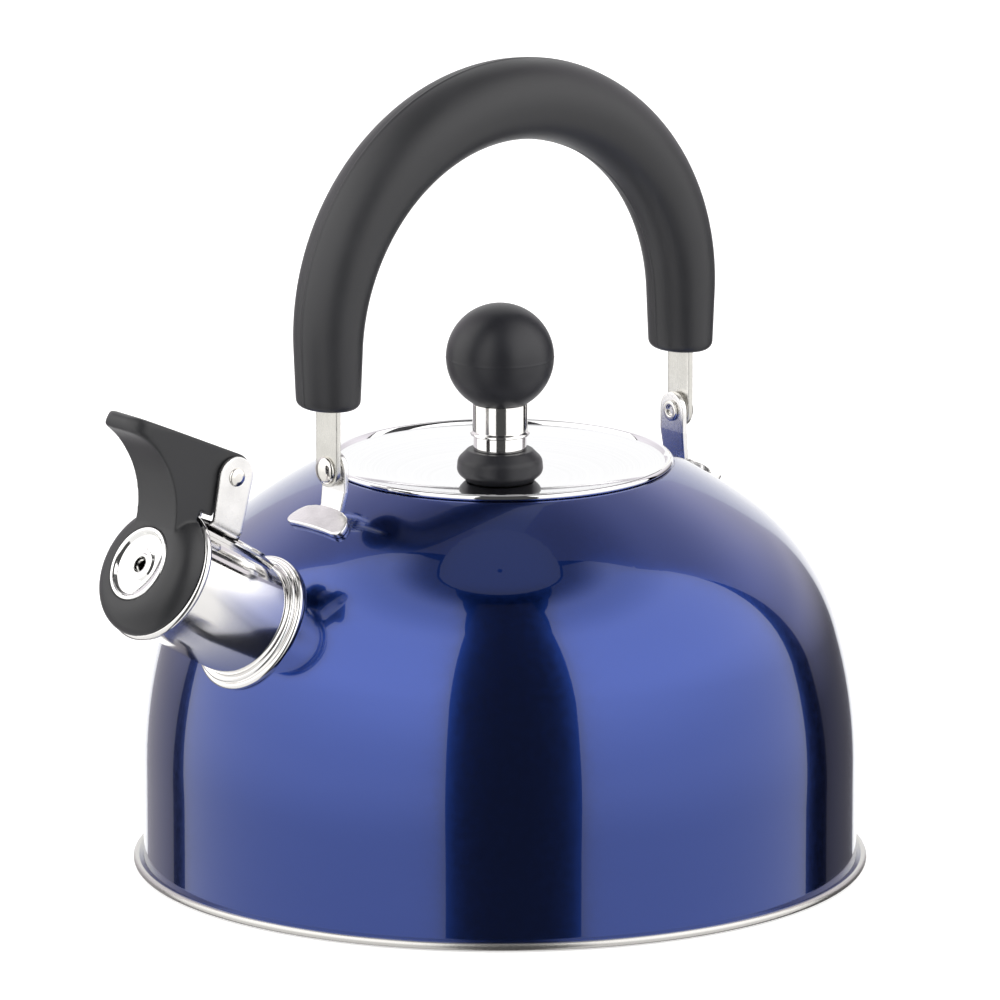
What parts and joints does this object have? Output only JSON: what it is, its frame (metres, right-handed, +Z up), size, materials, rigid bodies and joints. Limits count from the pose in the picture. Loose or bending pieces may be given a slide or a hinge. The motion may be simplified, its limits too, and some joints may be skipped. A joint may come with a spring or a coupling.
{
  "type": "stovetop whistling kettle",
  "caption": "Domed stovetop kettle with a lift-off ball-knob lid, a folding bail handle and a sprung whistle cap on its angled spout.",
  "frame": {"origin": "centre of the flat base, on the surface the kettle stands on", "axes": "+Z up along the body's axis, -X towards the spout, Y across the spout"},
  "size_m": [0.2288, 0.2, 0.2222],
  "materials": {
    "blue_coat": "translucent gloss metallic coat",
    "seam_steel": "satin",
    "base_alloy": "satin",
    "spout_chrome": "polished",
    "bracket_steel": "satin",
    "spring_wire": "drawn wire",
    "black_rubber": "matt",
    "rivet_chrome": "polished",
    "black_plastic": "fine satin texture",
    "strap_steel": "satin",
    "lid_chrome": "mirror polished"
  },
  "bodies": {
    "kettle": {"body_shell": "blue_coat", "base_plate": "seam_steel", "base_disc": "base_alloy", "spout_tube": "spout_chrome", "spout_collar": "spout_chrome", "hinge_bracket": "bracket_steel", "hinge_pin": "bracket_steel", "return_spring": "spring_wire", "heel_pad": "black_rubber", "front_bracket": "bracket_steel", "rear_bracket": "bracket_steel", "bail_rivets": "rivet_chrome", "bail_washers": "bracket_steel"},
    "bail": {"handle_grip": "black_plastic", "handle_strap": "strap_steel"},
    "lid": {"lid_cover": "lid_chrome", "lid_skirt": "seam_steel", "knob_foot": "black_plastic", "knob_ferrule": "rivet_chrome", "knob_ball": "black_plastic", "knob_screw": "bracket_steel", "knob_washer": "bracket_steel"},
    "cap": {"whistle_lever": "black_plastic", "whistle_cup": "lid_chrome", "whistle_plate": "seam_steel"}
  },
  "joints": [
    {"name": "bail_fold", "type": "hinge", "parent": "kettle", "child": "bail", "pos_m": [0.002, 0, 0.11703], "axis": [1, 0, 0], "range_deg": [-95, 95]},
    {"name": "lid_lift", "type": "slide", "parent": "kettle", "child": "lid", "axis": [0, 0, 1], "range_m": [0, 0.04]},
    {"name": "cap_open", "type": "hinge", "parent": "kettle", "child": "cap", "pos_m": [-0.0967, 0, 0.12237], "axis": [0, 1, 0], "range_deg": [0, 60], "stiffness_Nm_per_rad": 0.05, "springref_deg": -28.65, "deforming": ["return_spring"]}
  ]
}
